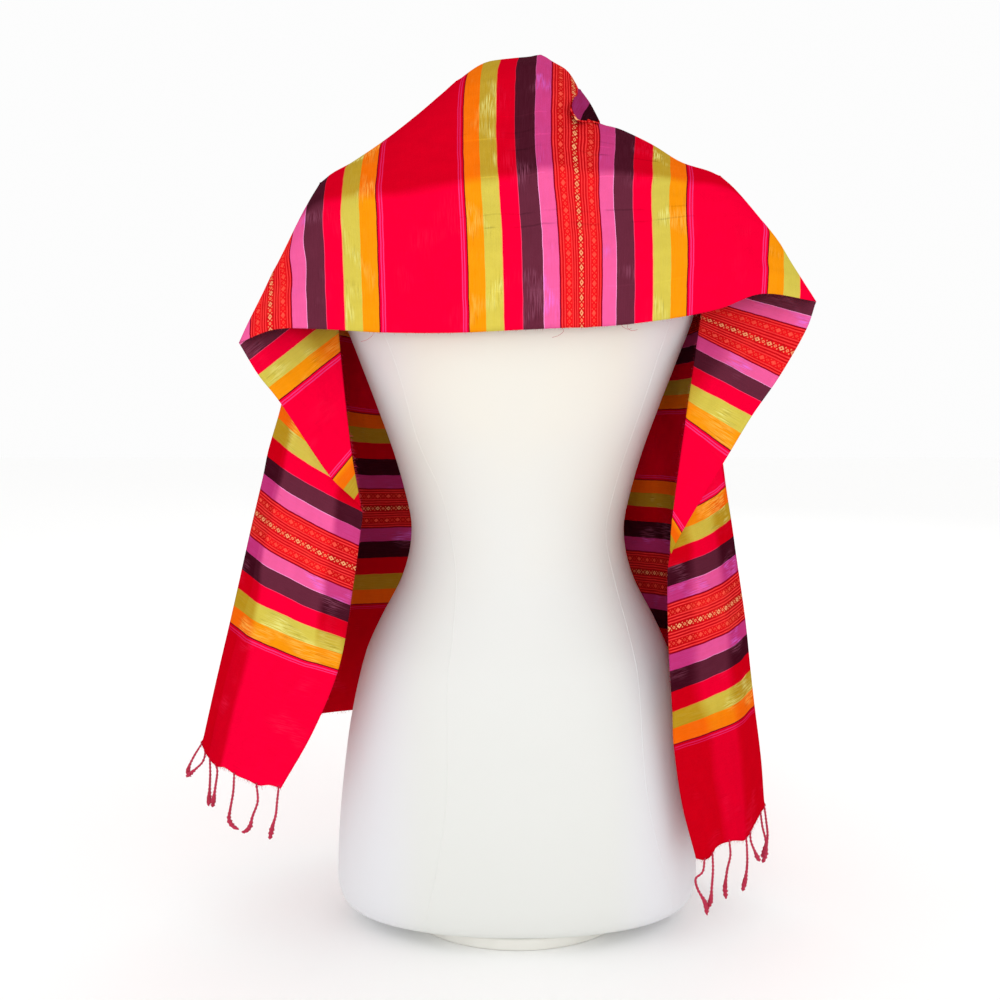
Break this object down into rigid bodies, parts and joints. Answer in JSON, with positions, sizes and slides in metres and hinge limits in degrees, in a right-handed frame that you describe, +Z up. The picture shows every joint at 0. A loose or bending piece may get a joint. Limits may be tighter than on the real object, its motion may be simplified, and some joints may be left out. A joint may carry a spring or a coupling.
{
  "type": "wrap scarf on dress form",
  "caption": "Striped woven wrap scarf with knotted fringe, draped over the neck and shoulders of a limbless dress form that stands on a flat base board.",
  "frame": {"origin": "middle of the base board's flat underside, on the surface the form stands on", "axes": "+Z up, +Y towards the wearer's front, +X towards the wearer's right-hand side as seen from behind"},
  "size_m": [0.6598, 0.2909, 0.9243],
  "materials": {
    "woven_cloth": "striped satin-faced weave with motif bands, soft sheen",
    "fringe_yarn": "twisted yarn strands, fuzzy",
    "form_cover": "matt stretch jersey over a padded form",
    "board_paint": "satin off-white paint on plywood"
  },
  "bodies": {
    "root": {"base_board": "board_paint", "form_body": "form_cover", "scarf_back": "woven_cloth", "scarf_neck": "woven_cloth", "scarf_flap_left": "woven_cloth", "scarf_tail_left": "woven_cloth", "scarf_front_left": "woven_cloth", "fringe_tail_left": "fringe_yarn", "fringe_front_left": "fringe_yarn", "scarf_flap_right": "woven_cloth", "scarf_tail_right": "woven_cloth", "scarf_front_right": "woven_cloth", "fringe_tail_right": "fringe_yarn", "fringe_front_right": "fringe_yarn"}
  },
  "joints": []
}
